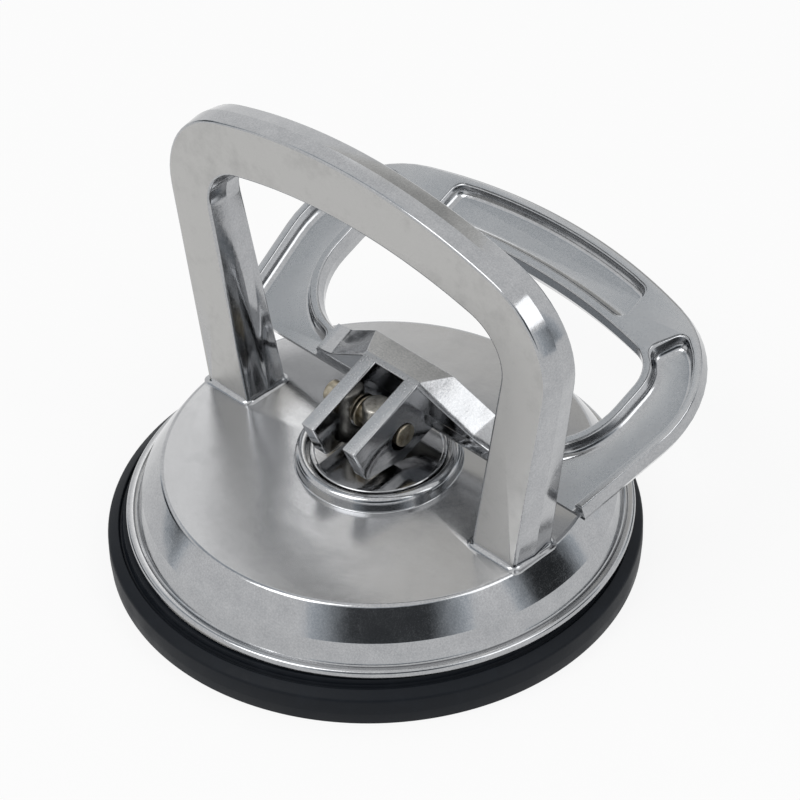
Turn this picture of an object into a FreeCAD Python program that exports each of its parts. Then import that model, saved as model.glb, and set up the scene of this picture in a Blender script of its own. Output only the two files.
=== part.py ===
import FreeCAD, Part
import math
import os

# All sizes are in millimetres. The floor is z = 0, the fixed handle spans X,
# and the lever lies back towards +Y with the vacuum released.

# Rubber pad
PAD_R = 60.0
PAD_WALL_H = 6.8
PAD_EDGE_R = 0.7
PAD_SHOULDER_R = 57.4
PAD_SHOULDER_Z = 8.4
PAD_CREASE_R = 57.0
PAD_CREASE_DEPTH = 0.5
PAD_SEAT_R = 56.4
PAD_SEAT_Z = 9.8
PAD_SEAT_IN_R = 49.0
PAD_WELL_R = 46.0
PAD_DISC_T = 4.0
PAD_SHIFT_X = -0.7
PAD_SHIFT_Y = -1.2

# Steel plate bonded on the pad, with its drawbar stud
INSERT_R = 27.0
INSERT_T = 2.0
INSERT_CHAMFER = 0.5
STUD_R = 3.4
STUD_FLANGE_R = 7.5
STUD_FLANGE_T = 2.5
STUD_ABOVE_PIN = 4.4
STUD_DOME = 0.8

# Bell plate
SEAT_GAP = 0.3
RIM_R = 56.95
RIM_BEAD_R = 0.95
GROOVE_R = 54.6
GROOVE_DEPTH = 1.0
WALL_TOP_R = 53.0
WALL_TOP_Z = 16.8
PLATE_R = 48.65
PLATE_Z = 24.2
PLATE_EDGE_R = 0.6
SHELL_T = 3.6
RIB_COUNT = 8
RIB_T = 2.0
RIB_IN_R = 21.0

# Collar and wear plate
COLLAR_OUT_R = 18.9
COLLAR_IN_R = 16.2
COLLAR_TOP_Z = 27.2
COLLAR_ROUND = 1.1
BORE_R = 8.0
BOSS_R = 20.0
WEAR_R = 15.4
WEAR_TOP_Z = 26.6
WEAR_GAP = 0.1
WEAR_RIM_W = 0.9
WEAR_RIM_H = 0.3
WEAR_HOLE_R = 5.2

# Fixed handle, cast in one with the bell plate
LEG_IN_X = 34.65
LEG_OUT_X = 47.7
LEG_SINK = 2.0
OUT_SLOPE = 0.17
OUT_CORNER_R = 21.6
OUT_ARC_R = 135.7
OUT_TOP_Z = 105.4
IN_SLOPE = 0.18
IN_CORNER_R = 11.6
IN_ARC_R = 135.4
IN_TOP_Z = 91.7
FOOT_HALF_Y = 6.1
TOP_HALF_Y = 4.1
FOOT_MID_Y = -0.9
TOP_MID_Y = -2.2
RIDGE = 0.5
HANDLE_ROUND = 0.9
FLARE = 1.3

# Hinge
PIN_Z = 35.0
PIN_R = 2.75
PIN_OUT = 0.6
PIN_CHAMFER = 0.4
PIN_FIT = 0.02
EAR_FIT = 0.08
EYE_R = 3.45
EYE_DEPTH = 0.7
EYE_SHIFT = 0.35
WASHER_R = 5.3
WASHER_T = 0.6
WASHER_GAP = 0.06

# Lever, in its own frame: X across, S along the lever, H square to it,
# measured from the pin
LEVER_TILT = 21.0
EAR_OUT_X = 8.2
SLOT_HALF = 4.35
SLOT_BACK_S = 7.75
NOSE_S = -13.2
NOSE_H = -1.15
NOSE_ROUND = 1.2
HEEL_S = -3.1
HEEL_H = -6.15
EAR_TOP_H = 8.9
EAR_BACK_S = 8.2
EAR_BACK_H = -6.6
BLOCK_BACK_S = 15.4
BLOCK_BACK_X = 12.0
BLOCK_BACK_H = 6.3
FACE_H = -2.6
LEVER_T = 6.2
SHOULDER_FRONT_X = 24.5
SHOULDER_BACK_X = 26.5
RING_BASE_S = 7.6
RING_BASE_X = 52.0
RING_SLOPE = 0.16
RING_CORNER_R = 26.0
RING_ARC_R = 147.0
RING_TOP_S = 64.8
RING_DRAFT = 1.3
RING_FOOT_R = 3.0
HOLE_BASE_S = 13.7
HOLE_SIDE_X = 43.5
HOLE_FOOT_R = 18.0
HOLE_CORNER_R = 8.5
HOLE_ARC_R = 165.0
HOLE_TOP_S = 50.7
RIM_W = 2.1
GRIP_POCKET_X = 29.0
GRIP_POCKET_DEPTH = 2.6
ARM_POCKET_X = 39.0
ARM_POCKET_DEPTH = 3.4
POCKET_ROUND = 1.6
LEVER_ROUND = 0.8
SLACK = 1.0


def vec(x, y, z):
    return FreeCAD.Vector(x, y, z)


def line(a, b):
    return Part.LineSegment(a, b).toShape()


def arc(a, b, c):
    return Part.Arc(a, b, c).toShape()


def cyl(radius, height, base, axis=vec(0, 0, 1)):
    return Part.makeCylinder(radius, height, base, axis)


def ring_points(pairs):
    return [vec(r, 0, z) for r, z in pairs]


def turned(pairs):
    """Solid of revolution about Z from a closed run of (radius, height)."""
    points = ring_points(pairs)
    face = Part.Face(Part.makePolygon(points + points[:1]))
    return face.revolve(vec(0, 0, 0), vec(0, 0, 1), 360)


def rim_edges(solid, radius, height):
    """Circular edges of a turned solid at one radius and height."""
    found = []
    for edge in solid.Edges:
        curve = edge.Curve
        if not isinstance(curve, Part.Circle):
            continue
        same_r = abs(curve.Radius - radius) < 0.01
        if same_r and abs(curve.Center.z - height) < 0.01:
            found.append(edge)
    return found


def prism(pairs, plane, start, length):
    """Straight prism from (a, b) pairs: plane "yz" runs along X, "xz" along Y."""
    if plane == "yz":
        points = [vec(start, a, b) for a, b in pairs]
        way = vec(length, 0, 0)
    else:
        points = [vec(a, start, b) for a, b in pairs]
        way = vec(0, length, 0)
    return Part.Face(Part.makePolygon(points + points[:1])).extrude(way)


def arch_points(base_x, base, slope, corner, arc_r, top):
    """Right half of an arch: leg foot, corner start, middle and end, crown.

    The leg leans out by slope, and the corner arc touches both the leg and
    the crown arc.
    """
    length = math.hypot(1.0, slope)
    ux, uv = slope / length, 1.0 / length
    nx, nv = -uv, ux
    mid_v = top - arc_r
    ax = base_x + nx * corner
    av = base + nv * corner - mid_v
    b = ax * ux + av * uv
    c = ax * ax + av * av - (arc_r - corner) ** 2
    k = -b + math.sqrt(b * b - c)
    cx, cv = ax + k * ux, av + k * uv + mid_v
    start = (cx - nx * corner, cv - nv * corner)
    reach = math.hypot(cx, cv - mid_v)
    dx, dv = cx / reach, (cv - mid_v) / reach
    end = (cx + dx * corner, cv + dv * corner)
    hx, hv = dx - nx, dv - nv
    half = math.hypot(hx, hv)
    middle = (cx + hx / half * corner, cv + hv / half * corner)
    return [(base_x, base), start, middle, end, (0.0, top)]


def arch_edges(points, place):
    """Edges over the arch from its right foot to its left foot."""
    foot, start, middle, end, crown = points
    flip = [(-x, v) for x, v in points]
    return [
        line(place(*foot), place(*start)),
        arc(place(*start), place(*middle), place(*end)),
        arc(place(*end), place(*crown), place(*flip[3])),
        arc(place(*flip[3]), place(*flip[2]), place(*flip[1])),
        line(place(*flip[1]), place(*flip[0])),
    ]


def handle_section(y, grow, inner):
    """Closed wire of the handle's outer or inner outline at one depth."""
    base = PLATE_Z - LEG_SINK
    if inner:
        args = (LEG_IN_X - IN_SLOPE * LEG_SINK - grow, base, IN_SLOPE,
                IN_CORNER_R - grow, IN_ARC_R - grow, IN_TOP_Z - grow)
    else:
        args = (LEG_OUT_X - OUT_SLOPE * LEG_SINK + grow, base, OUT_SLOPE,
                OUT_CORNER_R + grow, OUT_ARC_R + grow, OUT_TOP_Z + grow)
    points = arch_points(*args)
    edges = arch_edges(points, lambda x, z: vec(x, y, z))
    foot = points[0][0]
    edges.append(line(vec(-foot, y, base), vec(foot, y, base)))
    return Part.Wire(edges)


def handle_half(side, inner):
    """Half of the handle's depth, from the parting ridge to one face."""
    middle = handle_section(FOOT_MID_Y, 0.0, inner)
    face = handle_section(FOOT_MID_Y + side * FOOT_HALF_Y, -RIDGE, inner)
    return Part.makeLoft([middle, face], True, True)


def handle_block(inner):
    return handle_half(-1, inner).fuse(handle_half(1, inner)).removeSplitter()


def side_y(side, z):
    """Handle face at one height, on the line from foot to top."""
    share = (z - PLATE_Z) / (OUT_TOP_Z - PLATE_Z)
    mid = FOOT_MID_Y + share * (TOP_MID_Y - FOOT_MID_Y)
    half = FOOT_HALF_Y + share * (TOP_HALF_Y - FOOT_HALF_Y)
    return mid + side * half


def handle_wedge():
    """Prism along X that tapers the handle's depth towards its top."""
    low = PLATE_Z - LEG_SINK
    high = OUT_TOP_Z + SLACK
    pairs = [(side_y(-1, PLATE_Z), low), (side_y(1, PLATE_Z), low),
             (side_y(1, PLATE_Z), PLATE_Z), (side_y(1, high), high),
             (side_y(-1, high), high), (side_y(-1, PLATE_Z), PLATE_Z)]
    width = 2 * (LEG_OUT_X + OUT_SLOPE * OUT_TOP_Z)
    return prism(pairs, "yz", -width / 2, width)


def face_edges(solid):
    """Edges round the front and back faces of the handle, above the plate."""
    found = []
    for face in solid.Faces:
        normal = face.normalAt(0, 0)
        if abs(normal.y) < 0.99 or face.CenterOfMass.z < PLATE_Z + SLACK:
            continue
        for edge in face.Edges:
            if edge.BoundBox.ZMax > PLATE_Z + SLACK:
                found.append(edge)
    return found


def handle():
    ring = handle_block(False).cut(handle_block(True))
    ring = ring.common(handle_wedge())
    return ring.makeFillet(HANDLE_ROUND, face_edges(ring))


def foot_flare(side):
    """Short flare where a handle leg runs into the plate."""
    low, high = [], []
    for grow, z, out in ((FLARE, PLATE_Z, low), (0.0, PLATE_Z + 2 * FLARE, high)):
        x0, x1 = LEG_IN_X - grow, LEG_OUT_X + grow
        y0, y1 = side_y(-1, z) - grow, side_y(1, z) + grow
        for x, y in ((x0, y0), (x1, y0), (x1, y1), (x0, y1), (x0, y0)):
            out.append(vec(side * x, y, z))
    wires = [Part.makePolygon(low), Part.makePolygon(high)]
    return Part.makeLoft(wires, True, True)


def bell():
    """Turned shell: rim with its bead, wall, cone and top plate."""
    seat = PAD_SEAT_Z + SEAT_GAP
    bead_z = seat + 2 * RIM_BEAD_R
    groove_z = bead_z - GROOVE_DEPTH
    inner_r = GROOVE_R - SHELL_T
    under = PLATE_Z - SHELL_T
    outside = [
        (inner_r, seat), (RIM_R, seat), (RIM_R, bead_z),
        (GROOVE_R + RIM_BEAD_R / 2, bead_z), (GROOVE_R, groove_z),
        (WALL_TOP_R, WALL_TOP_Z), (PLATE_R, PLATE_Z),
        (BORE_R, PLATE_Z), (BORE_R, under),
        (PLATE_R - SHELL_T, under), (inner_r, WALL_TOP_Z - SHELL_T / 2),
    ]
    body = turned(outside)
    body = body.makeFillet(RIM_BEAD_R * 0.9, rim_edges(body, RIM_R, bead_z))
    body = body.makeFillet(RIM_BEAD_R / 2, rim_edges(body, RIM_R, seat))
    soft = rim_edges(body, PLATE_R, PLATE_Z) + rim_edges(body, WALL_TOP_R, WALL_TOP_Z)
    return body.makeFillet(PLATE_EDGE_R, soft)


def collar():
    """Raised ring round the bore, with a boss under the plate."""
    under = PLATE_Z - SHELL_T
    ring = cyl(COLLAR_OUT_R, COLLAR_TOP_Z - PLATE_Z, vec(0, 0, PLATE_Z))
    top = rim_edges(ring, COLLAR_OUT_R, COLLAR_TOP_Z)
    ring = ring.makeFillet(COLLAR_ROUND, top)
    ring = ring.cut(cyl(COLLAR_IN_R, COLLAR_TOP_Z, vec(0, 0, PLATE_Z)))
    base = Part.makeCone(COLLAR_OUT_R + COLLAR_ROUND, COLLAR_OUT_R,
                         COLLAR_ROUND, vec(0, 0, PLATE_Z))
    base = base.cut(cyl(COLLAR_IN_R, PLATE_Z, vec(0, 0, PLATE_Z)))
    boss = cyl(BOSS_R, SHELL_T / 2, vec(0, 0, under - SHELL_T / 2))
    boss = boss.cut(cyl(BORE_R, PLATE_Z, vec(0, 0, 0)))
    return ring.fuse(base).fuse(boss)


def ribs():
    """Radial ribs under the plate."""
    under = PLATE_Z - SHELL_T
    long = PLATE_R - SHELL_T - RIB_IN_R + SLACK
    depth = SHELL_T + SLACK
    parts = []
    for i in range(RIB_COUNT):
        rib = Part.makeBox(long, RIB_T, depth)
        rib.translate(vec(RIB_IN_R - SLACK, -RIB_T / 2, under - SHELL_T))
        turn = 360.0 * (i + 0.5) / RIB_COUNT
        rib.rotate(vec(0, 0, 0), vec(0, 0, 1), turn)
        parts.append(rib)
    return parts


def base_casting():
    body = bell().fuse(collar()).fuse(ribs()).fuse(handle())
    body = body.fuse(foot_flare(-1)).fuse(foot_flare(1))
    return body.removeSplitter()


def wear_plate():
    """Hard washer that the cam ears press on, loose in the collar."""
    low = PLATE_Z + WEAR_GAP
    rim_in = WEAR_R - WEAR_RIM_W
    plate = turned([
        (WEAR_HOLE_R, low), (WEAR_R, low), (WEAR_R, WEAR_TOP_Z + WEAR_RIM_H),
        (rim_in, WEAR_TOP_Z + WEAR_RIM_H), (rim_in - WEAR_RIM_H, WEAR_TOP_Z),
        (WEAR_HOLE_R, WEAR_TOP_Z),
    ])
    top = rim_edges(plate, WEAR_R, WEAR_TOP_Z + WEAR_RIM_H)
    return plate.makeFillet(WEAR_RIM_W / 2, top)


def rubber_pad():
    """Pad with a flat suction face, a heavy rim and a seat for the bell."""
    pad = turned([
        (0, 0), (PAD_R, 0), (PAD_R, PAD_WALL_H),
        (PAD_SHOULDER_R, PAD_SHOULDER_Z),
        (PAD_CREASE_R, PAD_SHOULDER_Z - PAD_CREASE_DEPTH),
        (PAD_SEAT_R, PAD_SHOULDER_Z), (PAD_SEAT_R, PAD_SEAT_Z),
        (PAD_SEAT_IN_R, PAD_SEAT_Z), (PAD_WELL_R, PAD_DISC_T), (0, PAD_DISC_T),
    ])
    soft = rim_edges(pad, PAD_R, 0) + rim_edges(pad, PAD_R, PAD_WALL_H)
    pad = pad.makeFillet(PAD_EDGE_R, soft)
    pad.translate(vec(PAD_SHIFT_X, PAD_SHIFT_Y, 0))
    return pad


def insert_plate():
    plate = cyl(INSERT_R, INSERT_T, vec(0, 0, PAD_DISC_T))
    top = rim_edges(plate, INSERT_R, PAD_DISC_T + INSERT_T)
    return plate.makeChamfer(INSERT_CHAMFER, top)


def drawbar_stud():
    """Stud with a foot flange and a cross hole for the hinge pin."""
    low = PAD_DISC_T + INSERT_T
    top = PIN_Z + STUD_ABOVE_PIN
    shank = cyl(STUD_R, top - low, vec(0, 0, low))
    shank = shank.makeFillet(STUD_DOME, rim_edges(shank, STUD_R, top))
    flange = Part.makeCone(STUD_FLANGE_R, STUD_R + SLACK, STUD_FLANGE_T,
                           vec(0, 0, low))
    hole = cyl(PIN_R + PIN_FIT, 4 * STUD_R, vec(-2 * STUD_R, 0, PIN_Z), vec(1, 0, 0))
    return shank.fuse(flange).cut(hole)


def hinge_pin():
    half = EAR_OUT_X + PIN_OUT
    pin = cyl(PIN_R, 2 * half, vec(-half, 0, PIN_Z), vec(1, 0, 0))
    ends = [e for e in pin.Edges if isinstance(e.Curve, Part.Circle)]
    return pin.makeChamfer(PIN_CHAMFER, ends)


def spacer_washers():
    """One washer on each side of the stud."""
    pair = []
    for side in (-1, 1):
        start = STUD_R + WASHER_GAP
        base = vec(side * start, 0, PIN_Z)
        way = vec(side, 0, 0)
        disc = cyl(WASHER_R, WASHER_T, base, way)
        pair.append(disc.cut(cyl(PIN_R + PIN_FIT, WASHER_T, base, way)))
    return Part.makeCompound(pair)


def flat(x, s, h=0.0):
    return vec(x, s, h)


def ring_outline(h, inset):
    """Closed outer outline of the lever's ring at one height."""
    points = arch_points(RING_BASE_X - inset, RING_BASE_S, RING_SLOPE,
                         RING_CORNER_R - inset, RING_ARC_R - inset,
                         RING_TOP_S - inset)
    edges = arch_edges(points, lambda x, s: flat(x, s, h))
    foot = points[0][0]
    edges.append(line(flat(-foot, RING_BASE_S, h), flat(foot, RING_BASE_S, h)))
    return Part.Wire(edges)


def hole_outline(h, grow):
    """Closed outline of the finger opening, grown outwards."""
    foot_r = HOLE_FOOT_R + grow
    side = HOLE_SIDE_X + grow
    base = HOLE_BASE_S - grow
    turn_s = base + foot_r
    turn_x = side - foot_r
    points = arch_points(side, turn_s, 0.0, HOLE_CORNER_R + grow,
                         HOLE_ARC_R + grow, HOLE_TOP_S + grow)
    edges = arch_edges(points, lambda x, s: flat(x, s, h))
    diag = foot_r * math.sqrt(0.5)
    mid_x, mid_s = turn_x + diag, turn_s - diag
    edges.append(arc(flat(-side, turn_s, h), flat(-mid_x, mid_s, h),
                     flat(-turn_x, base, h)))
    edges.append(line(flat(-turn_x, base, h), flat(turn_x, base, h)))
    edges.append(arc(flat(turn_x, base, h), flat(mid_x, mid_s, h),
                     flat(side, turn_s, h)))
    return Part.Wire(edges)


def ring():
    """Flat D-shaped ring with drafted outer walls."""
    low = FACE_H - LEVER_T
    outer = Part.makeLoft([ring_outline(FACE_H, 0.0),
                           ring_outline(low, RING_DRAFT)], True, True)
    hole = Part.Face(hole_outline(low - SLACK, 0.0))
    return outer.cut(hole.extrude(vec(0, 0, LEVER_T + 2 * SLACK)))


def pocket_band(depth):
    """Band inside the rims, from the pocket floor up past the face."""
    low = FACE_H - depth
    tall = vec(0, 0, depth + SLACK)
    outer = Part.Face(ring_outline(low, RIM_W)).extrude(tall)
    return outer.cut(Part.Face(hole_outline(low, RIM_W)).extrude(tall))


def grip_pocket():
    band = pocket_band(GRIP_POCKET_DEPTH)
    box = Part.makeBox(2 * GRIP_POCKET_X, RING_TOP_S - HOLE_TOP_S + SLACK,
                       LEVER_T, vec(-GRIP_POCKET_X, HOLE_TOP_S - 3 * SLACK,
                                    FACE_H - GRIP_POCKET_DEPTH))
    return round_upright(band.common(box))


def round_upright(solid):
    """Round the upright corners of a pocket."""
    edges = []
    for edge in solid.Edges:
        box = edge.BoundBox
        if box.XLength < 0.01 and box.YLength < 0.01:
            edges.append(edge)
    return solid.makeFillet(POCKET_ROUND, edges)


def arm_pocket():
    """Pocket down one arm, open at the arm's foot."""
    low = FACE_H - ARM_POCKET_DEPTH
    turn_s = HOLE_BASE_S + HOLE_FOOT_R
    side = HOLE_SIDE_X + RIM_W
    far = RING_BASE_X + RING_CORNER_R
    outline = [(ARM_POCKET_X, turn_s), (side, turn_s),
               (side - SLACK, RING_BASE_S - SLACK), (far, RING_BASE_S - SLACK),
               (far, RING_TOP_S), (ARM_POCKET_X, RING_TOP_S)]
    points = [flat(x, s, low) for x, s in outline]
    region = Part.Face(Part.makePolygon(points + points[:1]))
    region = region.extrude(vec(0, 0, LEVER_T))
    open_end = Part.Face(ring_outline(low, RIM_W))
    band = open_end.extrude(vec(0, 0, ARM_POCKET_DEPTH + SLACK))
    band = band.cut(Part.Face(hole_outline(low, RIM_W)).extrude(vec(0, 0, LEVER_T)))
    return band.common(region)


def polyhedron(points, faces):
    """Closed solid from corner points and index lists of its faces."""
    skins = []
    for face in faces:
        run = [points[i] for i in face]
        skins.append(Part.Face(Part.makePolygon(run + run[:1])))
    return Part.Solid(Part.Shell(skins))


def shoulder(side):
    """Sloping web from the centre block down to one arm."""
    low = FACE_H - LEVER_T
    inner = SLOT_HALF
    points = [
        flat(side * inner, EAR_BACK_S, EAR_TOP_H),
        flat(side * inner, BLOCK_BACK_S, BLOCK_BACK_H),
        flat(side * inner, BLOCK_BACK_S, low),
        flat(side * inner, EAR_BACK_S, EAR_BACK_H),
        flat(side * EAR_OUT_X, EAR_BACK_S, EAR_TOP_H),
        flat(side * BLOCK_BACK_X, BLOCK_BACK_S, BLOCK_BACK_H),
        flat(side * SHOULDER_BACK_X, BLOCK_BACK_S, FACE_H),
        flat(side * SHOULDER_FRONT_X, EAR_BACK_S, FACE_H),
        flat(side * SHOULDER_FRONT_X, EAR_BACK_S, EAR_BACK_H),
        flat(side * SHOULDER_BACK_X, BLOCK_BACK_S, low),
    ]
    faces = [
        (0, 1, 2, 3), (0, 4, 5, 1), (4, 7, 5), (7, 6, 5),
        (1, 5, 6, 9, 2), (0, 3, 8, 7, 4), (7, 8, 9, 6), (3, 2, 9, 8),
    ]
    return polyhedron(points, faces)


def bridge():
    """Block behind the slot that joins the two ears."""
    low = FACE_H - LEVER_T
    pairs = [(SLOT_BACK_S, EAR_TOP_H), (EAR_BACK_S, EAR_TOP_H),
             (BLOCK_BACK_S, BLOCK_BACK_H), (BLOCK_BACK_S, low),
             (EAR_BACK_S, EAR_BACK_H), (SLOT_BACK_S, EAR_BACK_H)]
    return prism(pairs, "yz", -SLOT_HALF - SLACK, 2 * (SLOT_HALF + SLACK))


def ear(side):
    """Cam ear: a square lug with a chamfered lower nose."""
    pairs = [(NOSE_S, EAR_TOP_H), (NOSE_S, NOSE_H), (HEEL_S, HEEL_H),
             (EAR_BACK_S, EAR_BACK_H), (EAR_BACK_S, EAR_TOP_H)]
    width = EAR_OUT_X - SLOT_HALF
    start = SLOT_HALF if side > 0 else -EAR_OUT_X
    lug = prism(pairs, "yz", start, width)
    nose = [e for e in lug.Edges if is_nose(e)]
    lug = lug.makeFillet(NOSE_ROUND, nose)
    hole = cyl(PIN_R + EAR_FIT, width, vec(start, 0, 0), vec(1, 0, 0))
    face = side * (EAR_OUT_X - EYE_DEPTH)
    eye = cyl(EYE_R, EYE_DEPTH + SLACK, vec(face, -EYE_SHIFT, 0), vec(side, 0, 0))
    return lug.cut(hole).cut(eye)


def is_nose(edge):
    """True for the lower nose edge and the heel edge of an ear."""
    box = edge.BoundBox
    along = box.YLength < 0.01 and box.ZLength < 0.01
    nose = abs(box.YMin - NOSE_S) < 0.01 and abs(box.ZMin - NOSE_H) < 0.01
    heel = abs(box.YMin - HEEL_S) < 0.01 and abs(box.ZMin - HEEL_H) < 0.01
    return along and (nose or heel)


def centre_gap():
    """Space between the arms' feet that the centre block fills."""
    low = FACE_H - LEVER_T - SLACK
    return Part.makeBox(2 * SHOULDER_FRONT_X, EAR_BACK_S - RING_BASE_S,
                        LEVER_T + 2 * SLACK,
                        flat(-SHOULDER_FRONT_X, RING_BASE_S, low))


def lever_casting():
    body = ring().cut(grip_pocket())
    right = arm_pocket()
    left = right.mirror(vec(0, 0, 0), vec(1, 0, 0))
    body = body.cut(right).cut(left).cut(centre_gap())
    for side in (-1, 1):
        body = body.fuse(ear(side)).fuse(shoulder(side))
    body = body.fuse(bridge()).removeSplitter()
    slot = Part.makeBox(2 * SLOT_HALF, SLOT_BACK_S - NOSE_S + SLACK,
                        2 * EAR_TOP_H + LEVER_T,
                        flat(-SLOT_HALF, NOSE_S - SLACK, EAR_BACK_H - LEVER_T))
    body = body.cut(slot)
    body.rotate(vec(0, 0, 0), vec(1, 0, 0), LEVER_TILT)
    body.translate(vec(0, 0, PIN_Z))
    return body


NODES = {
    "base_casting": base_casting,
    "wear_plate": wear_plate,
    "rubber_pad": rubber_pad,
    "insert_plate": insert_plate,
    "drawbar_stud": drawbar_stud,
    "hinge_pin": hinge_pin,
    "spacer_washers": spacer_washers,
    "lever_casting": lever_casting,
}

os.makedirs("parts", exist_ok=True)
for name, build in NODES.items():
    build().exportStep("parts/" + name + ".step")
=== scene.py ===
import math

import bpy
from mathutils import Matrix, Vector


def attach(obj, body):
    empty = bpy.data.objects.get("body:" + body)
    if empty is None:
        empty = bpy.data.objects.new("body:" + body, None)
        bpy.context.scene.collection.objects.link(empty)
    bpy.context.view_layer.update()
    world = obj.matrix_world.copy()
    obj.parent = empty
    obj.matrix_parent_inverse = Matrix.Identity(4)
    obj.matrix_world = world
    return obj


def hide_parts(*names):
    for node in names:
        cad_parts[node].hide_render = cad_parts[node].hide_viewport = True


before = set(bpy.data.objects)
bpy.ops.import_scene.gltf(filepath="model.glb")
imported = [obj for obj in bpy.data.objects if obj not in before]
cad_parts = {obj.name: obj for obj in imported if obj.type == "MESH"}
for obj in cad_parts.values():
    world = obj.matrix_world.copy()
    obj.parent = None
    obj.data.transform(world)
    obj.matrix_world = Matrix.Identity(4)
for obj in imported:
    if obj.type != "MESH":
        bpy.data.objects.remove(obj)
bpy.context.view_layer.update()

# Lengths below are in millimetres unless they say otherwise
MM_PER_M = 1000.0
QUARTER = math.radians(90.0)
SMOOTH_ANGLE = math.radians(32.0)

# Camera fitted to the photograph, with its angles in degrees
FOCAL_PX = 4215.6
ELEVATION = 39.89
AZIMUTH = 45.49
ROLL = -1.85
DISTANCE = 950.11
SHIFT_RIGHT = 4.04
SHIFT_UP = 30.91
FRAME_PX = 800
SENSOR = 36.0

LEVER_TILT = math.radians(21.0)

# Rubber pad: (radius, height, rounding) from the middle of the suction face,
# round the rim and back to the middle of the well
PAD_MIDDLE = (-0.7, -1.2)
PAD_PROFILE = (
    (20.0, 0.0, 0.0), (43.6, 0.0, 0.0), (44.0, 0.5, 0.0), (45.0, 0.5, 0.0),
    (45.4, 0.0, 0.0), (49.6, 0.0, 0.0), (50.0, 0.5, 0.0), (51.0, 0.5, 0.0),
    (51.4, 0.0, 0.0), (55.6, 0.0, 0.0), (56.0, 0.6, 0.0), (57.2, 0.6, 0.0),
    (57.6, 0.0, 0.0), (59.75, 0.0, 0.35), (60.0, 3.0, 0.6), (60.0, 6.8, 1.0),
    (57.55, 8.35, 0.25), (57.2, 7.6, 0.12), (56.8, 7.6, 0.12), (56.4, 8.35, 0.2),
    (56.4, 9.8, 0.1), (49.0, 9.8, 0.8), (46.0, 4.0, 1.2), (20.0, 4.0, 0.0),
)

# Steps of a turned circle, a rounded corner, an arch's corner, half its crown,
# and the foot of the opening
ROUND_STEPS = 192
CORNER_STEPS = 4
ARCH_STEPS = 12
CROWN_STEPS = 16
FOOT_STEPS = 14
BEVEL_STEPS = 3
WELD_GAP = 0.002

# Bell plate, as a closed run: (radius, height, rounding)
PLATE_Z = 23.7
BELL_PROFILE = (
    (8.0, 20.1, 0.0), (8.0, 23.7, 0.3), (16.2, 23.7, 0.0), (16.2, 27.2, 0.4),
    (18.6, 27.2, 1.55), (18.6, 23.7, 0.4), (48.4, 23.7, 1.3), (53.0, 16.8, 0.5),
    (54.6, 11.1, 0.5), (55.2, 12.0, 0.3), (56.95, 12.0, 0.85), (56.95, 10.1, 0.4),
    (51.0, 10.1, 0.3), (49.4, 15.0, 0.8), (44.9, 20.1, 1.0), (8.0, 20.1, 0.0),
)

# Fixed handle in its own plane: leg foot, lean, corner, crown arc and crown
HANDLE_OUTER = (47.45, 0.17, 21.6, 135.7, 105.4)
HANDLE_INNER = (34.55, 0.18, 11.6, 135.4, 91.7)
HANDLE_FOOT = 21.7
HANDLE_TOP = 105.4
FOOT_HALF, TOP_HALF = 6.1, 4.1
FOOT_Y, TOP_Y = -0.9, -2.2
HANDLE_ROUND = 0.8
SIDE_BULGE = 0.5

# Hollow fillet round each foot: (growth, height) above the plate
FOOT_SKIRT = ((1.3, 0.0), (0.8, 0.12), (0.42, 0.36), (0.14, 0.75), (0.0, 1.3))
SKIRT_CORNER = 2.2
SKIRT_STEPS = 5
SKIRT_DROP = 0.6

# Lever in its own frame: x across, s along it, h square to it, from the pin.
# The ring is given as the handle is, and the opening has a corner at its foot.
HINGE_Z = 35.0
RING = (53.4, 7.6, 0.18, 26.0, 147.0, 64.6)
OPENING = (42.5, 13.7, 18.0, 8.5, 165.0, 50.4)
FACE_H = -2.6
LEVER_T = 6.2
LEVER_ROUND = 0.5

# The ring's outer wall leans in below the parting line
LEVER_DRAFT = 1.2
DRAFT_FROM_X = 47.0
DRAFT_FROM_S = 54.5
DRAFT_MIDDLE_S = 24.0
DRAFT_SIDE_SHARE = 0.55

# Pockets in the grip and arms: (depth, floor rounding)
RIM_W = 2.1
GRIP_END_X = 29.0
ARM_TOP = (39.0, 48.2)
ARM_LEAN = 0.52
ARM_IN_X = 27.5
ARM_OPEN_END = 3.0
GRIP_FROM_S = 40.0
POCKET_CORNER = 2.6
INNER_CORNER = 2.4
POCKET_STEPS = 5
CORNER_REACH = 4.0
ARM_NUDGE = (0.4, 0.1)
GRIP_NUDGE = (0.3, 0.2)
ARM_POCKET = (3.6, 1.9)
GRIP_POCKET = (2.8, 1.9)
LIP = 0.4

# Cam ears and the block behind their slot: (s or x, h, rounding)
EAR_TOP_H = 8.9
EAR_OUT_X = 8.2
EAR_IN_X = 4.35
EAR_ROUND = 0.45
EAR_SIDE = (
    (-13.2, EAR_TOP_H, 0.3), (-13.2, -1.15, 1.2), (-3.1, -6.15, 1.2),
    (9.2, -6.66, 0.0), (9.2, EAR_TOP_H, 0.0),
)
BLOCK_FRONT = 7.75
BLOCK_BACK = 15.4
BLOCK_EDGE = 9.2
BLOCK_ROUND = 0.25
BLOCK_SIDE = (
    (8.2, EAR_TOP_H, 0.3), (23.9, FACE_H, 10.0), (27.2, FACE_H, 0.0), (27.2, -6.6, 0.0),
)
SHOULDER_STEPS = 8
BLOCK_SPREAD = 3.8
BLOCK_FALL = 2.6
BLOCK_UNDERCUT = 2.2
UNDERCUT_DEPTH = 4.0
EYE_R = 3.4
EYE_SHIFT = -0.6
EYE_LENGTH = 50.0
EYE_STEPS = 64

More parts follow.
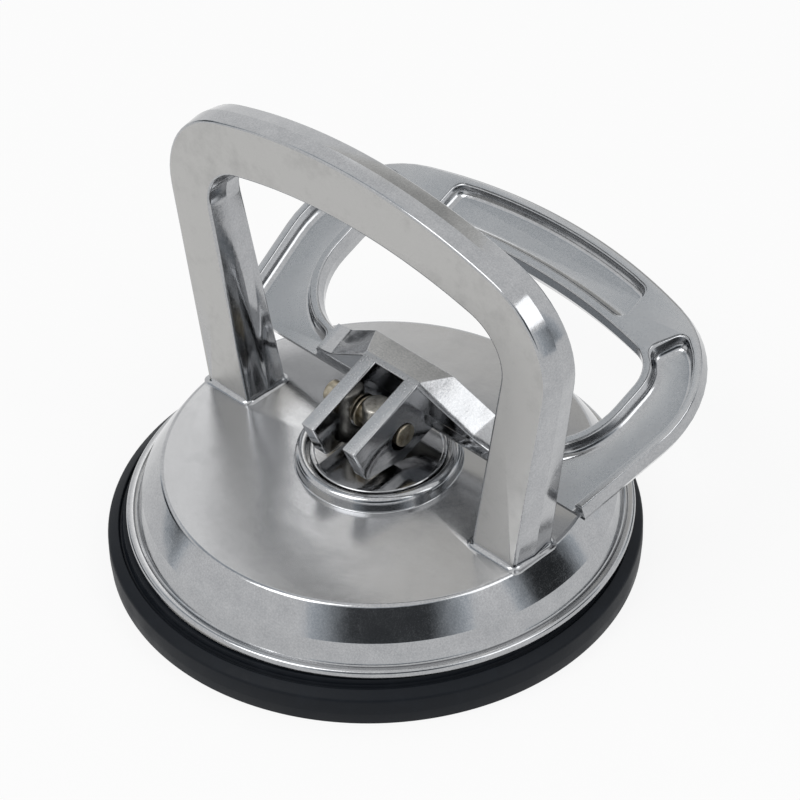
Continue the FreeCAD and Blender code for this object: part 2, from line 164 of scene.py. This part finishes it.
# Pin with its washers: (radius, x, rounding)
PIN_PROFILE = (
    (0.6, -14.5, 0.0), (2.75, -14.5, 0.4), (2.75, -4.1, 0.0), (3.8, -4.1, 0.2),
    (3.8, -3.5, 0.2), (2.75, -3.5, 0.0), (2.75, 3.5, 0.0), (3.8, 3.5, 0.2),
    (3.8, 4.1, 0.2), (2.75, 4.1, 0.0), (2.75, 8.8, 0.4), (0.6, 8.8, 0.0),
)

# Colours that each metal and the rubber vary between
SANDED = ((0.46, 0.457, 0.448, 1.0), (0.33, 0.328, 0.322, 1.0))
PORE = (0.22, 0.217, 0.21, 1.0)
BUFFED = ((0.49, 0.493, 0.50, 1.0), (0.40, 0.404, 0.412, 1.0))
# Tumbled sides: a real finish, with both tones set low as painted shade for the darker
# reflections on the sides
TUMBLED_AND_SHADED = ((0.34, 0.348, 0.36, 1.0), (0.46, 0.465, 0.475, 1.0))
# Wear plate steel: random worn smears, with both tones set dark as painted shade for
# the collar recess round it
WORN_STEEL_AND_SHADE = ((0.33, 0.333, 0.34, 1.0), (0.50, 0.503, 0.51, 1.0))
STUD_STEEL = ((0.22, 0.21, 0.19, 1.0), (0.50, 0.48, 0.44, 1.0))
PIN_STEEL = ((0.20, 0.17, 0.12, 1.0), (0.46, 0.42, 0.34, 1.0))
RUBBER = ((0.0050, 0.0070, 0.0105, 1.0), (0.0115, 0.0145, 0.0195, 1.0))

# Studio, in metres: each card's name, place, aim, width, height, strength in its
# middle and at its edge, and tint
MIDDLE = (0.0, 0.0, 0.04)
BLUE = (0.88, 0.94, 1.0)
WARM = (1.0, 0.985, 0.945)
WHITE = (1.0, 1.0, 1.0)
CARDS = (
    ("card_camera", (0.80, -0.72, 0.56), MIDDLE, 1.6, 0.9, 0.07, 0.9, BLUE),
    ("card_plate", (-0.23, 0.38, 0.44), (0.01, 0.0, 0.024),
     0.28, 0.36, 0.56, 0.92, WARM),
    ("card_gleam", (-0.36, 0.262, 0.42), (0.0, -0.035, 0.024),
     0.07, 0.24, 2.2, 0.9, WHITE),
    ("card_lever", (-0.50, -0.02, 0.80), MIDDLE, 0.44, 0.44, 0.56, 0.9, BLUE),
    ("card_left", (-1.0, -0.35, 0.25), MIDDLE, 0.7, 0.55, 0.04, 0.9, BLUE),
    ("card_right", (0.85, 0.55, 0.25), MIDDLE, 0.7, 0.55, 0.04, 0.9, BLUE),
    ("card_back", (0.1, 1.1, 0.25), MIDDLE, 0.7, 0.5, 0.06, 0.9, BLUE),
)
FLOOR_R = 3.0
FLOOR_GLOW = 0.88
ROOM_LIGHT = 0.6


class Flow:
    """A node socket that takes part in Python expressions."""

    def __init__(self, tree, socket):
        self.tree = tree
        self.socket = socket

    def math(self, operation, *others):
        node = self.tree.nodes.new("ShaderNodeMath")
        node.operation = operation
        for place, value in zip(node.inputs, (self,) + others):
            feed(self.tree, place, value)
        return Flow(self.tree, node.outputs[0])

    def swapped(self, operation, other):
        node = self.tree.nodes.new("ShaderNodeMath")
        node.operation = operation
        feed(self.tree, node.inputs[0], other)
        feed(self.tree, node.inputs[1], self)
        return Flow(self.tree, node.outputs[0])

    def __add__(self, other):
        return self.math("ADD", other)

    def __radd__(self, other):
        return self.math("ADD", other)

    def __sub__(self, other):
        return self.math("SUBTRACT", other)

    def __rsub__(self, other):
        return self.swapped("SUBTRACT", other)

    def __mul__(self, other):
        return self.math("MULTIPLY", other)

    def __rmul__(self, other):
        return self.math("MULTIPLY", other)

    def __abs__(self):
        return self.math("ABSOLUTE")

    def either(self, other):
        return self.math("MAXIMUM", other)


def feed(tree, place, value):
    """Link a Flow to an input, or set a plain value on it."""
    if isinstance(value, Flow):
        tree.links.new(value.socket, place)
    else:
        place.default_value = value


class Finish:
    """A material being built, with one method for every other node."""

    def __init__(self, name):
        self.material = bpy.data.materials.new(name)
        self.material.use_nodes = True
        self.tree = self.material.node_tree
        self.shader = self.tree.nodes["Principled BSDF"]
        self.output = self.tree.nodes["Material Output"]
        self.place = self.node("TexCoord", out="Object")

    def node(self, kind, settings=None, inputs=None, out=0):
        node = self.tree.nodes.new("ShaderNode" + kind)
        for key, value in (settings or {}).items():
            setattr(node, key, value)
        for key, value in (inputs or {}).items():
            feed(self.tree, node.inputs[key], value)
        return Flow(self.tree, node.outputs[out])

    def noise(self, scale, detail, rough, place=None):
        return self.node("TexNoise", inputs={
            "Vector": place or self.place, "Scale": scale, "Detail": detail,
            "Roughness": rough}, out="Fac")

    def stretched(self, size):
        return self.node("Mapping", inputs={"Vector": self.place, "Scale": size})

    def level(self, value, low, high, to_low=0.0, to_high=1.0):
        return self.node("MapRange", {"clamp": True}, {
            "Value": value, "From Min": low, "From Max": high,
            "To Min": to_low, "To Max": to_high})

    def blend(self, share, first, second):
        return self.node("Mix", {"data_type": "RGBA"}, {
            0: share, 6: first, 7: second}, 2)

    def relief(self, height, strength, distance, normal=None):
        inputs = {"Height": height, "Strength": strength, "Distance": distance}
        if normal:
            inputs["Normal"] = normal
        return self.node("Bump", inputs=inputs)

    def facing(self):
        """The surface's own direction in the object's frame, as x, y and z."""
        way = self.node("TexCoord", out="Normal")
        return [self.node("SeparateXYZ", inputs={"Vector": way}, out=i)
                for i in range(3)]

    def spot(self):
        """The point's own place in metres, as x, y and z."""
        return [self.node("SeparateXYZ", inputs={"Vector": self.place}, out=i)
                for i in range(3)]

    def set(self, **values):
        for key, value in values.items():
            name = key.replace("_", " ")
            feed(self.tree, self.shader.inputs[name], value)
        return self.material


def grey(value):
    """A plain grey, opaque."""
    return (value, value, value, 1.0)


def cast_aluminium(name, zones):
    """Die-cast aluminium: sanded flats, a buffed top and tumbled, bright sides, whose
    tone is set low as painted shade for the darker reflections on them.
    """
    metal = Finish(name)
    flat, top = zones(metal)
    swell = metal.noise(55.0, 2.0, 0.5)
    blotch = metal.noise(210.0, 5.0, 0.65)
    smut = metal.noise(75.0, 6.0, 0.72)
    grain = metal.noise(2300.0, 3.0, 0.7)
    fine = metal.noise(6000.0, 2.0, 0.6)
    stain = metal.level(smut * 0.7 + blotch * 0.3, 0.50, 0.66)
    dull = metal.blend(stain * 0.55, *SANDED)
    speck = metal.level(fine + grain * 0.5, 0.98, 1.16)
    dull = metal.blend(speck * 0.35, dull, PORE)
    buffed = metal.blend(stain * 0.45, *BUFFED)
    # Side tone: random tumbled grain and blotches, kept dark as painted shade
    bright = metal.blend(
        metal.level(blotch * 0.35 + grain * 0.65, 0.38, 0.66), *TUMBLED_AND_SHADED)
    smooth = metal.level(blotch * 0.6 + grain * 0.6, 0.40, 0.85, 0.07, 0.20)
    satin = metal.level(grain + blotch * 0.4, 0.4, 1.0, 0.30, 0.46)
    sheen = metal.level(smut + grain * 0.4, 0.4, 0.9, 0.15, 0.27)
    colour = metal.blend(top, metal.blend(flat, bright, dull), buffed)
    wave = metal.relief(swell, 0.16, 0.0010)
    dimple = metal.relief(blotch, 0.10, 0.00025, wave)
    pitted = grain * (flat * 0.75 + top * 0.3 + 0.12)
    return metal.set(
        Base_Color=colour,
        Roughness=satin * flat + sheen * top + smooth * (1.0 - flat - top),
        Metallic=1.0,
        Normal=metal.relief(pitted, 0.22, 0.00005, dimple))


def base_zones(metal):
    """Sanded handle faces, and the buffed top of the bell plate."""
    x, y, z = metal.facing()
    return metal.level(abs(y), 0.965, 0.990), metal.level(z, 0.985, 0.998)


def lever_zones(metal):
    """The lever's rims and ear tops, square to its own upper side."""
    x, y, z = metal.facing()
    lift = z * math.cos(LEVER_TILT) - y * math.sin(LEVER_TILT)
    flat = metal.level(lift, 0.985, 0.998)
    return flat * 0.45, flat * 0.55


def polished_steel():
    """Wear plate: worn bright, with fine scratches one way; its tones are set dark as
    painted shade and painted reflection of the ears' dark undersides inside the collar.
    """
    metal = Finish("polished wear plate")
    smear = metal.noise(260.0, 4.0, 0.6)
    scratch = metal.noise(90.0, 6.0, 0.7, metal.stretched((1.0, 14.0, 1.0)))
    return metal.set(
        # Smears vary the tone at random; the overall darkness is painted shade
        Base_Color=metal.blend(metal.level(smear, 0.35, 0.7), *WORN_STEEL_AND_SHADE),
        Roughness=metal.level(scratch, 0.3, 0.75, 0.07, 0.19),
        Metallic=1.0,
        Normal=metal.relief(scratch, 0.06, 0.0002))


def turned_steel(name, shades):
    """Plain steel with a little rust."""
    metal = Finish(name)
    rust = metal.noise(520.0, 5.0, 0.65)
    grain = metal.noise(2600.0, 3.0, 0.6)
    return metal.set(
        Base_Color=metal.blend(metal.level(rust, 0.35, 0.68), *shades),
        Roughness=metal.level(grain, 0.3, 0.75, 0.26, 0.48),
        Metallic=1.0,
        Normal=metal.relief(rust, 0.25, 0.0002, metal.relief(grain, 0.3, 0.00008)))


def black_rubber():
    """Pad rubber, dusty and finely pored."""
    rubber = Finish("moulded rubber")
    dust = rubber.noise(130.0, 6.0, 0.65)
    pore = rubber.noise(2400.0, 3.0, 0.6)
    return rubber.set(
        Base_Color=rubber.blend(rubber.level(dust, 0.5, 0.8), *RUBBER),
        Roughness=rubber.level(dust + pore * 0.3, 0.4, 0.9, 0.42, 0.60),
        Specular_IOR_Level=0.16,
        Normal=rubber.relief(pore, 0.2, 0.00006, rubber.relief(dust, 0.1, 0.0003)))


def rounded(profile, steps=CORNER_STEPS):
    """Replace each corner of a profile that has a rounding by a short arc."""
    points = []
    for i, (r, z, size) in enumerate(profile):
        corner = Vector((r, z))
        if not size:
            points.append(corner)
            continue
        before = (Vector(profile[i - 1][:2]) - corner).normalized()
        after = (Vector(profile[(i + 1) % len(profile)][:2]) - corner).normalized()
        half = before.angle(after) / 2.0
        middle = corner + (before + after).normalized() * size / math.sin(half)
        first = corner + before * size / math.tan(half) - middle
        last = corner + after * size / math.tan(half) - middle
        for k in range(steps + 1):
            points.append(middle + first.slerp(last, k / steps) * size)
    return points


def arch(base_x, base, slope, corner, arc_r, top):
    """Right half of an arch: leaning leg, corner arc, and half the crown arc."""
    length = math.hypot(1.0, slope)
    along = Vector((slope, 1.0)) / length
    inward = Vector((-along.y, along.x))
    crown = Vector((0.0, top - arc_r))
    start = Vector((base_x, base)) + inward * corner - crown
    rise = start.dot(along)
    reach = math.sqrt(rise ** 2 - start.length_squared + (arc_r - corner) ** 2)
    middle = start + along * (reach - rise)
    points = [Vector((base_x, base))]
    leave, arrive = -inward, middle.normalized()
    for i in range(ARCH_STEPS + 1):
        way = leave.slerp(arrive, i / ARCH_STEPS)
        points.append(crown + middle + way * corner)
    end = middle + arrive * corner
    sweep = math.atan2(end.x, end.y)
    for i in range(1, CROWN_STEPS + 1):
        turn = sweep * (1.0 - i / CROWN_STEPS)
        points.append(crown + Vector((math.sin(turn), math.cos(turn))) * arc_r)
    return points


def whole(half):
    """An arch from its right half: right foot, crown, left foot."""
    return half + [Vector((-p.x, p.y)) for p in reversed(half[:-1])]


def opening(grow):
    """Right half of the lever's opening, from the middle of its base."""
    side, base, foot, corner, arc_r, top = OPENING
    side, base, foot = side + grow, base - grow, foot + grow
    turn = Vector((side - foot, base + foot))
    down, out = Vector((0.0, -1.0)), Vector((1.0, 0.0))
    points = [turn + down.slerp(out, i / FOOT_STEPS) * foot
              for i in range(FOOT_STEPS + 1)]
    upper = arch(side, base + foot, 0.0, corner + grow, arc_r + grow, top + grow)
    return points + upper[1:]


def ring_arch(inset):
    """Right half of the lever's outline, moved inwards."""
    base_x, base, slope, corner, arc_r, top = RING
    return arch(base_x - inset, base, slope,
                corner - inset, arc_r - inset, top - inset)


def pick(piece):
    """Make a piece the only selected one, and the active one."""
    bpy.ops.object.select_all(action="DESELECT")
    piece.select_set(True)
    bpy.context.view_layer.objects.active = piece


def lie(piece, turn=(0.0, 0.0, 0.0), place=(0.0, 0.0, 0.0)):
    """Turn a piece, move it, and apply both to its mesh."""
    pick(piece)
    piece.rotation_euler = turn
    piece.location = [value / MM_PER_M for value in place]
    bpy.ops.object.transform_apply(location=True, rotation=True, scale=True)
    return piece


def slab(name, outlines, thick, soft):
    """A slab with rounded edges from closed outlines in its own XY plane."""
    flat = bpy.data.curves.new(name, "CURVE")
    flat.dimensions = "2D"
    flat.fill_mode = "BOTH"
    for outline in outlines:
        run = flat.splines.new("POLY")
        run.points.add(len(outline) - 1)
        for point, place in zip(run.points, outline):
            point.co = (place[0] / MM_PER_M, place[1] / MM_PER_M, 0.0, 1.0)
        run.use_cyclic_u = True
    flat.extrude = (thick / 2.0 - soft) / MM_PER_M
    flat.bevel_depth = soft / MM_PER_M
    flat.bevel_resolution = BEVEL_STEPS
    flat.offset = -soft / MM_PER_M
    piece = bpy.data.objects.new(name, flat)
    bpy.context.scene.collection.objects.link(piece)
    pick(piece)
    bpy.ops.object.convert(target="MESH")
    close_up(piece)
    return bpy.context.object


def close_up(piece):
    """Merge a piece's doubled points and turn its faces outwards."""
    bpy.ops.object.mode_set(mode="EDIT")
    bpy.ops.mesh.select_all(action="SELECT")
    bpy.ops.mesh.remove_doubles(threshold=WELD_GAP / MM_PER_M)
    bpy.ops.mesh.normals_make_consistent(inside=False)
    bpy.ops.object.mode_set(mode="OBJECT")


def joined(piece, other, how):
    """Cut or fuse two pieces, and use up the second one."""
    change = piece.modifiers.new("joined", "BOOLEAN")
    change.operation = how
    change.solver = "EXACT"
    change.object = other
    pick(piece)
    bpy.ops.object.modifier_apply(modifier=change.name)
    bpy.data.objects.remove(other, do_unlink=True)


def turned_piece(name, profile, centre=(0.0, 0.0)):
    """Turn a piece as on a lathe: one circle, drawn on ring by ring."""
    points = [point / MM_PER_M for point in rounded(profile)]
    x, y = (value / MM_PER_M for value in centre)
    bpy.ops.object.select_all(action="DESELECT")
    bpy.ops.mesh.primitive_circle_add(vertices=ROUND_STEPS, radius=points[0][0],
                                      location=(x, y, points[0][1]))
    piece = bpy.context.object
    piece.name = name
    bpy.ops.object.mode_set(mode="EDIT")
    bpy.ops.mesh.select_all(action="SELECT")
    for before, after in zip(points, points[1:]):
        bpy.ops.mesh.extrude_edges_move()
        grow = after[0] / before[0]
        bpy.ops.transform.resize(value=(grow, grow, 1.0), center_override=(x, y, 0.0))
        bpy.ops.transform.translate(value=(0.0, 0.0, after[1] - before[1]))
    if profile[0] != profile[-1]:
        bpy.ops.mesh.select_all(action="SELECT")
        bpy.ops.mesh.fill_holes(sides=0)
    bpy.ops.object.mode_set(mode="OBJECT")
    close_up(piece)
    bpy.ops.object.transform_apply(location=True, rotation=True, scale=True)
    return piece


def show(piece, body, slot, material, *nodes):
    """Finish a piece and let it stand for its CAD nodes."""
    pick(piece)
    bpy.ops.object.shade_smooth_by_angle(angle=SMOOTH_ANGLE)
    piece.data.materials.clear()
    piece.data.materials.append(material)
    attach(piece, body)
    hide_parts(*nodes)


def ridge(piece, along, spot, rise):
    """Low ridge all round a piece, where a plane across it cuts its sides."""
    bpy.ops.object.mode_set(mode="EDIT")
    bpy.ops.mesh.select_all(action="SELECT")
    bpy.ops.mesh.bisect(plane_co=[value / MM_PER_M for value in spot],
                        plane_no=along)
    bpy.ops.mesh.mark_sharp()
    bpy.ops.object.mode_set(mode="OBJECT")
    for point in piece.data.vertices:
        if point.select:
            point.co += point.normal * rise / MM_PER_M


def handle():
    """Fixed handle, deeper at its feet, with a low ridge along its middle."""
    sides = []
    for foot_x, lean, corner, arc_r, top in (HANDLE_OUTER, HANDLE_INNER):
        foot = foot_x - lean * (PLATE_Z - HANDLE_FOOT)
        sides.append(whole(arch(foot, HANDLE_FOOT, lean, corner, arc_r, top)))
    outline = sides[0] + list(reversed(sides[1]))
    piece = slab("handle", [outline], 2.0 * FOOT_HALF, HANDLE_ROUND)
    lie(piece, turn=(QUARTER, 0.0, 0.0))
    ridge(piece, (0.0, 1.0, 0.0), (0.0, 0.0, 0.0), SIDE_BULGE)
    for point in piece.data.vertices:
        height = point.co.z * MM_PER_M - PLATE_Z
        share = max(0.0, height / (HANDLE_TOP - PLATE_Z))
        depth = 1.0 + share * (TOP_HALF / FOOT_HALF - 1.0)
        middle = FOOT_Y + share * (TOP_Y - FOOT_Y)
        point.co.y = point.co.y * depth + middle / MM_PER_M
    return piece


def foot_skirt(side):
    """Small hollow fillet round one foot of the handle."""
    width = HANDLE_OUTER[0] - HANDLE_INNER[0]
    middle = side * (HANDLE_OUTER[0] + HANDLE_INNER[0]) / 2.0
    deep = 2.0 * FOOT_HALF
    now = FOOT_SKIRT[0][0]
    bpy.ops.object.select_all(action="DESELECT")
    bpy.ops.mesh.primitive_plane_add(size=1.0 / MM_PER_M)
    piece = bpy.context.object
    piece.name = "foot"
    piece.scale = (width + 2.0 * now, deep + 2.0 * now, 1.0)
    bpy.ops.object.transform_apply(location=True, rotation=True, scale=True)
    bpy.ops.object.mode_set(mode="EDIT")
    bpy.ops.mesh.select_all(action="SELECT")
    bpy.ops.mesh.bevel(offset=SKIRT_CORNER / MM_PER_M, segments=SKIRT_STEPS,
                       affect="VERTICES")
    bpy.ops.mesh.select_all(action="SELECT")
    height = -SKIRT_DROP
    for grow, z in FOOT_SKIRT:
        bpy.ops.mesh.extrude_region_move()
        bpy.ops.transform.resize(
            value=((width + 2.0 * grow) / (width + 2.0 * now),
                   (deep + 2.0 * grow) / (deep + 2.0 * now), 1.0),
            center_override=(0.0, 0.0, 0.0))
        bpy.ops.transform.translate(value=(0.0, 0.0, (z - height) / MM_PER_M))
        now, height = grow, z
    bpy.ops.object.mode_set(mode="OBJECT")
    close_up(piece)
    return lie(piece, place=(middle, FOOT_Y, PLATE_Z - SKIRT_DROP))


def bell_and_handle():
    """Bell plate with its collar and handle, all one casting."""
    body = turned_piece("bell", BELL_PROFILE)
    joined(body, handle(), "UNION")
    for side in (-1, 1):
        joined(body, foot_skirt(side), "UNION")
    show(body, "base", "cast_aluminium",
         cast_aluminium("cast bell and handle", base_zones), "base_casting")


def pocket(name, outline, deep, soft):
    """Cutter for a pocket with rounded corners and a dished floor."""
    cutter = slab(name, [rounded(outline, POCKET_STEPS)], 2.0 * deep, soft)
    return lie(cutter, place=(0.0, 0.0, FACE_H))


def plain(points):
    """Points of a run, each with no rounding."""
    return [(p.x, p.y, 0.0) for p in points]


def clear_of(points, corners):
    """The points of a run that lie clear of its rounded corners."""
    return [p for p in points
            if all((p - corner).length > CORNER_REACH for corner in corners)]


def arm_pocket(side, grow, deep, soft):
    """Pocket down one arm: inside both rims, and open at the arm's foot."""
    inner_x = ARM_IN_X - grow

    def kept(p):
        end_x = ARM_TOP[0] + ARM_LEAN * (p.y - ARM_TOP[1] - grow)
        return p.x > end_x and p.x > inner_x

    base = RING[1] - ARM_OPEN_END
    outer = [p for p in ring_arch(RIM_W - grow) if kept(p)]
    inner = [p for p in opening(RIM_W - grow) if kept(p)]
    low = Vector((inner_x, inner[0].y - ARM_NUDGE[1]))
    corners = (outer[-1], inner[-1], low)
    outline = [(outer[0].x - ARM_NUDGE[0], base, 0.0)]
    outline += plain(clear_of(outer, corners))
    outline += [(*outer[-1], POCKET_CORNER), (*inner[-1], POCKET_CORNER)]
    outline += plain(reversed(clear_of(inner, corners)))
    outline += [(*low, INNER_CORNER), (low.x, base, 0.0)]
    outline = [(side * x, s, size) for x, s, size in outline]
    return pocket("arm_pocket", outline, deep, soft)


def grip_pocket(grow, deep, soft):
    """Pocket along the grip, between both rims."""
    end = GRIP_END_X + grow

    def kept(p):
        return abs(p.x) < end and p.y > GRIP_FROM_S

    outer = [p for p in whole(ring_arch(RIM_W - grow)) if kept(p)]
    inner = [p for p in whole(opening(RIM_W - grow)) if kept(p)]
    corners = []
    for side, first, last in ((1, outer[0], inner[0]), (-1, outer[-1], inner[-1])):
        corners += [Vector((side * end, first.y - GRIP_NUDGE[0])),
                    Vector((side * end, last.y - GRIP_NUDGE[1]))]
    outline = [(*corners[0], POCKET_CORNER)] + plain(clear_of(outer, corners))
    outline += [(*corners[2], POCKET_CORNER), (*corners[3], POCKET_CORNER)]
    outline += plain(reversed(clear_of(inner, corners)))
    outline += [(*corners[1], POCKET_CORNER)]
    return pocket("grip_pocket", outline, deep, soft)


def ear(side):
    """Cam ear: a square lug with a chamfered lower nose."""
    piece = slab("ear", [rounded(EAR_SIDE)], EAR_OUT_X - EAR_IN_X, EAR_ROUND)
    middle = side * (EAR_OUT_X + EAR_IN_X) / 2.0
    return lie(piece, (QUARTER, 0.0, QUARTER), (middle, 0.0, 0.0))


def centre_block():
    """Block behind the slot, with sloping shoulders down to both arms."""
    left = [(-x, h, size) for x, h, size in reversed(BLOCK_SIDE)]
    outline = rounded(list(BLOCK_SIDE) + left, SHOULDER_STEPS)
    piece = slab("block", [outline], BLOCK_BACK - BLOCK_FRONT, BLOCK_ROUND)
    middle = (BLOCK_FRONT + BLOCK_BACK) / 2.0
    lie(piece, (QUARTER, 0.0, 0.0), (0.0, middle, 0.0))
    ridge(piece, (0.0, 1.0, 0.0), (0.0, BLOCK_EDGE, 0.0), 0.0)
    for point in piece.data.vertices:
        x, s, h = point.co * MM_PER_M
        back = max(0.0, (s - BLOCK_EDGE) / (BLOCK_BACK - BLOCK_EDGE))
        rise = max(0.0, (h - FACE_H) / (EAR_TOP_H - FACE_H))
        sink = min(1.0, max(0.0, (FACE_H - h) / UNDERCUT_DEPTH))
        x += math.copysign(BLOCK_SPREAD * back * rise, x)
        h -= back * (BLOCK_FALL * rise + BLOCK_UNDERCUT * sink)
        point.co = (x / MM_PER_M, s / MM_PER_M, h / MM_PER_M)
    return piece


def lever():
    """D-shaped lever with dished pockets, sloping shoulders and cam ears."""
    outer = whole(ring_arch(0.0))
    hole = whole(opening(0.0))
    body = slab("lever", [outer, hole], LEVER_T, LEVER_ROUND)
    ridge(body, (0.0, 0.0, 1.0), (0.0, 0.0, 0.0), SIDE_BULGE)
    parting_h = FACE_H - LEVER_T / 2.0
    lie(body, place=(0.0, 0.0, parting_h))
    for point in body.data.vertices:
        x, s, h = point.co * MM_PER_M
        below = max(0.0, (parting_h - h) / (LEVER_T / 2.0))
        if abs(x) > DRAFT_FROM_X or s > DRAFT_FROM_S:
            away = Vector((x * DRAFT_SIDE_SHARE, max(0.0, s - DRAFT_MIDDLE_S)))
            away = away.normalized() * LEVER_DRAFT * below
            point.co.x -= away.x / MM_PER_M
            point.co.y -= away.y / MM_PER_M
    joined(body, grip_pocket(0.0, *GRIP_POCKET), "DIFFERENCE")
    joined(body, grip_pocket(LIP, LIP, LIP), "DIFFERENCE")
    for side in (1, -1):
        joined(body, arm_pocket(side, 0.0, *ARM_POCKET), "DIFFERENCE")
        joined(body, arm_pocket(side, LIP, LIP, LIP), "DIFFERENCE")
    for part in (centre_block(), ear(1), ear(-1)):
        joined(body, part, "UNION")
    bpy.ops.object.select_all(action="DESELECT")
    bpy.ops.mesh.primitive_cylinder_add(
        vertices=EYE_STEPS, radius=EYE_R / MM_PER_M, depth=EYE_LENGTH / MM_PER_M,
        rotation=(0.0, QUARTER, 0.0), location=(0.0, EYE_SHIFT / MM_PER_M, 0.0))
    joined(body, bpy.context.object, "DIFFERENCE")
    lie(body, (LEVER_TILT, 0.0, 0.0), (0.0, 0.0, HINGE_Z))
    show(body, "lever", "lever_aluminium",
         cast_aluminium("cast lever", lever_zones), "lever_casting")


def pin_and_washers():
    """Cross pin with the two washers that space the stud in the slot."""
    pin = turned_piece("pin", PIN_PROFILE)
    lie(pin, (0.0, QUARTER, 0.0), (0.0, 0.0, HINGE_Z))
    show(pin, "drawbar", "pin_steel", turned_steel("hinge pin", PIN_STEEL),
         "hinge_pin", "spacer_washers")


def rubber_pad():
    """The pad with its sealing grooves below and the slit beside the bell."""
    pad = turned_piece("pad", PAD_PROFILE, PAD_MIDDLE)
    show(pad, "base", "black_rubber", black_rubber(), "rubber_pad")


def dress(node, material):
    """Give a CAD node that keeps its own mesh its material."""
    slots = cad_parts[node].data.materials
    slots.clear()
    slots.append(material)


def add_camera():
    """Long lens from the front right, as in the photograph."""
    azimuth, tilt, roll = (math.radians(v) for v in (AZIMUTH, ELEVATION, ROLL))
    back = Vector((math.sin(azimuth) * math.cos(tilt),
                   -math.cos(azimuth) * math.cos(tilt), math.sin(tilt)))
    level = Vector((math.cos(azimuth), math.sin(azimuth), 0.0))
    upright = back.cross(level)
    right = level * math.cos(roll) + upright * math.sin(roll)
    up = upright * math.cos(roll) - level * math.sin(roll)
    spot = (back * DISTANCE + right * SHIFT_RIGHT + up * SHIFT_UP) / MM_PER_M
    data = bpy.data.cameras.new("camera")
    data.sensor_width = SENSOR
    data.lens = FOCAL_PX / FRAME_PX * SENSOR
    data.clip_start = 0.01
    camera = bpy.data.objects.new("camera", data)
    turn = Matrix((right, up, back)).transposed().to_4x4()
    camera.matrix_world = Matrix.Translation(spot) @ turn
    bpy.context.scene.collection.objects.link(camera)
    bpy.context.scene.camera = camera


def panel(name, spot, aim, width, height, strength, edge, tint):
    """A soft-edged studio card, which only the reflections in the metal show."""
    bpy.ops.object.select_all(action="DESELECT")
    bpy.ops.mesh.primitive_plane_add(size=1.0)
    card = bpy.context.object
    card.name = name
    card.scale = (width, height, 1.0)
    card.location = spot
    way = Vector(aim) - Vector(spot)
    card.rotation_euler = way.to_track_quat("Z", "Y").to_euler()
    paper = Finish(name)
    x, y, z = paper.spot()
    reach = abs(x).either(abs(y))
    shade = paper.level(reach, 0.22, 0.5, strength, edge)
    glow = paper.node("Emission", inputs={"Color": (*tint, 1.0), "Strength": shade})
    paper.tree.links.new(glow.socket, paper.output.inputs["Surface"])
    card.data.materials.append(paper.material)
    card.visible_camera = False
    card.visible_diffuse = False
    card.visible_shadow = False


def soft_light(name, spot, size, power):
    """A square lamp that looks at the middle of the part."""
    data = bpy.data.lights.new(name, "AREA")
    data.shape = "RECTANGLE"
    data.size = data.size_y = size
    data.energy = power
    lamp = bpy.data.objects.new(name, data)
    lamp.location = spot
    way = Vector(MIDDLE) - Vector(spot)
    lamp.rotation_euler = way.to_track_quat("-Z", "Y").to_euler()
    bpy.context.scene.collection.objects.link(lamp)


def pale_floor():
    """Pale floor: plain white to the camera, with the shadow kept faint."""
    floor = Finish("pale floor")
    floor.set(Base_Color=grey(0.86), Roughness=0.75, Specular_IOR_Level=0.1)
    white = floor.node("Emission", inputs={"Color": grey(1.0), "Strength": 1.0})
    seen = floor.node("LightPath", out="Is Camera Ray")
    mirrored = floor.node("LightPath", out="Is Glossy Ray")
    through = floor.node("LightPath", out="Is Transmission Ray")
    share = seen.either(mirrored).either(through) * FLOOR_GLOW
    mix = floor.node("MixShader", inputs={
        0: share, 1: Flow(floor.tree, floor.shader.outputs[0]), 2: white})
    floor.tree.links.new(mix.socket, floor.output.inputs["Surface"])
    return floor.material


def add_studio():
    """Floor, cards, two lamps and a white surround."""
    bpy.ops.object.select_all(action="DESELECT")
    bpy.ops.mesh.primitive_circle_add(vertices=96, radius=FLOOR_R, fill_type="NGON")
    ground = bpy.context.object
    ground.name = "floor"
    ground.data.materials.append(pale_floor())
    for card in CARDS:
        panel(*card)
    soft_light("key", (-0.15, -0.75, 1.15), 0.7, 5.0)
    soft_light("fill", (0.9, 0.2, 0.9), 0.6, 2.0)
    world = bpy.data.worlds.new("studio")
    bpy.context.scene.world = world
    world.use_nodes = True
    tree = world.node_tree
    surround = tree.nodes["Background"]
    path = tree.nodes.new("ShaderNodeLightPath")
    seen = Flow(tree, path.outputs["Is Camera Ray"])
    mirrored = Flow(tree, path.outputs["Is Glossy Ray"])
    through = Flow(tree, path.outputs["Is Transmission Ray"])
    share = seen.either(mirrored).either(through)
    feed(tree, surround.inputs["Color"], grey(1.0))
    strength = share * (1.0 - ROOM_LIGHT) + ROOM_LIGHT
    feed(tree, surround.inputs["Strength"], strength)


bpy.context.scene.view_settings.view_transform = "Standard"
add_camera()
rubber_pad()
bell_and_handle()
lever()
pin_and_washers()
dress("wear_plate", polished_steel())
stud_steel = turned_steel("turned steel", STUD_STEEL)
dress("insert_plate", stud_steel)
dress("drawbar_stud", stud_steel)
add_studio()
